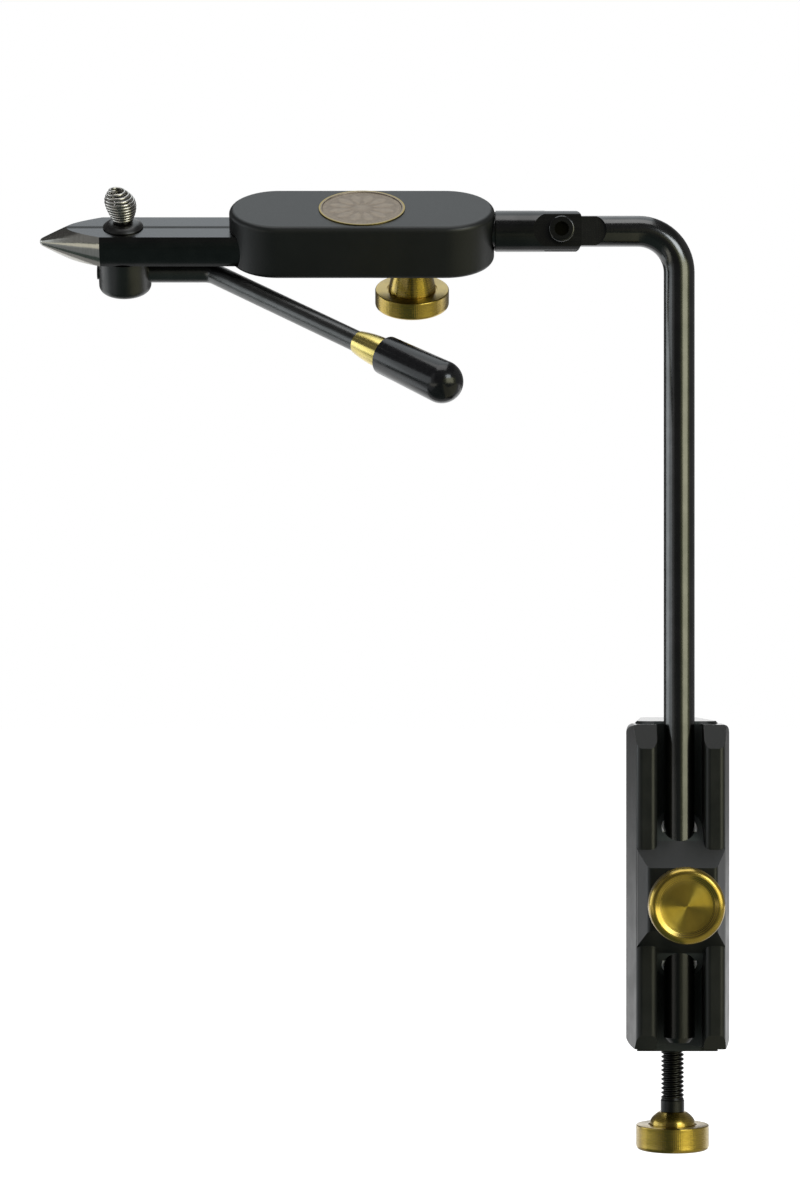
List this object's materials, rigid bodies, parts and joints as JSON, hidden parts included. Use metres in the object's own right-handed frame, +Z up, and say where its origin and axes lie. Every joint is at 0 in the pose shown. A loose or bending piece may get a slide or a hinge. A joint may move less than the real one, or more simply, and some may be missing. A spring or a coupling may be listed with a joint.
{
  "type": "fly tying vise",
  "caption": "Black fly tying vise with cam-opened sprung jaws on a rolling head, a tilting knuckle, a bent stem, a bench clamp and brass knobs.",
  "frame": {"origin": "on the clamp screw's axis, at the underside of the upper clamp jaw, where the table's top lies", "axes": "+Z up along the stem; -X from the stem towards the jaws' tip; -Y towards the front knob"},
  "size_m": [0.2127, 0.1037, 0.3],
  "materials": {
    "clamp_black": "semi-gloss",
    "black_steel": "black oxide",
    "plain_steel": "bare",
    "knob_brass": "turned",
    "head_black": "satin black anodised",
    "aged_bronze": "antique",
    "grip_vinyl": "gloss",
    "plug_plastic": "plain"
  },
  "bodies": {
    "clamp": {"clamp_frame": "clamp_black"},
    "pad": {"swivel_pad": "plain_steel"},
    "clamp_screw": {"clamp_screw": "black_steel", "clamp_screw_knob": "knob_brass"},
    "stem_plug": {"stem_lock_plug": "plug_plastic"},
    "stem_lock": {"stem_lock_screw": "black_steel", "stem_lock_knob": "knob_brass"},
    "stem": {"stem": "black_steel"},
    "knuckle": {"pivot_sleeve": "black_steel", "pivot_screw": "black_steel"},
    "head": {"head_body": "head_black", "medallion": "aged_bronze", "fulcrum_pins": "plain_steel", "jaw_spring": "plain_steel"},
    "head_plug": {"head_lock_plug": "plug_plastic"},
    "head_lock": {"head_lock_screw": "black_steel", "head_lock_knob": "knob_brass"},
    "jaw_near": {"jaw_near": "black_steel"},
    "jaw_far": {"jaw_far": "black_steel"},
    "lever": {"cam_spindle": "black_steel", "hub_set_screw": "black_steel", "lever_rod": "black_steel", "lever_ferrule": "knob_brass", "lever_grip": "grip_vinyl", "spring_button": "black_steel", "material_spring": "plain_steel"}
  },
  "joints": [
    {"name": "pad_travel", "type": "slide", "parent": "clamp", "child": "pad", "axis": [0, 0, 1], "range_m": [-0.038, 0.0175]},
    {"name": "clamp_screw_turn", "type": "hinge", "parent": "pad", "child": "clamp_screw", "pos_m": [0, 0, -0.06], "axis": [0, 0, 1], "range_deg": [-9700, 4470]},
    {"name": "stem_plug_travel", "type": "slide", "parent": "clamp", "child": "stem_plug", "axis": [0, -1, 0], "range_m": [0, 0.0019]},
    {"name": "stem_lock_turn", "type": "hinge", "parent": "stem_plug", "child": "stem_lock", "pos_m": [0, -0.05, -0.0394], "axis": [0, -1, 0], "range_deg": [0, 540]},
    {"name": "stem_slide", "type": "slide", "parent": "clamp", "child": "stem", "axis": [0, 0, 1], "range_m": [-0.1, 0.026]},
    {"name": "knuckle_tilt", "type": "hinge", "parent": "stem", "child": "knuckle", "pos_m": [-0.0365, -0.028, 0.1657], "axis": [0, 1, 0], "range_deg": [-45, 90]},
    {"name": "head_roll", "type": "hinge", "parent": "knuckle", "child": "head", "pos_m": [-0.08215, -0.028, 0.1657], "axis": [1, 0, 0], "continuous": true},
    {"name": "head_plug_travel", "type": "slide", "parent": "head", "child": "head_plug", "axis": [0, 0.4879, -0.8729], "range_m": [0, 0.0019]},
    {"name": "head_lock_turn", "type": "hinge", "parent": "head_plug", "child": "head_lock", "pos_m": [-0.08215, -0.02337, 0.15741], "axis": [0, 0.4879, -0.8729], "range_deg": [0, 540]},
    {"name": "lever_turn", "type": "hinge", "parent": "head", "child": "lever", "pos_m": [-0.17105, -0.028, 0.1657], "axis": [0, -0.4879, 0.8729], "range_deg": [0, 18], "stiffness_Nm_per_rad": 0.6, "springref_deg": -8.59, "deforming": ["jaw_spring"]},
    {"name": "jaw_near_swing", "type": "hinge", "parent": "head", "child": "jaw_near", "pos_m": [-0.12135, -0.03236, 0.16326], "axis": [0, -0.4879, 0.8729], "range_deg": [0, 1.4]},
    {"name": "jaw_far_swing", "type": "hinge", "parent": "head", "child": "jaw_far", "pos_m": [-0.12135, -0.02364, 0.16814], "axis": [0, -0.4879, 0.8729], "range_deg": [-1.4, 0]}
  ],
  "couplings": [
    {"joint": "clamp_screw_turn", "follows": "pad_travel", "rad_per_m": 4453},
    {"joint": "stem_lock_turn", "follows": "stem_plug_travel", "rad_per_m": 4947.4},
    {"joint": "head_lock_turn", "follows": "head_plug_travel", "rad_per_m": 4947.4},
    {"joint": "jaw_near_swing", "follows": "lever_turn", "ratio": 0.0749},
    {"joint": "jaw_far_swing", "follows": "lever_turn", "ratio": -0.0749}
  ]
}
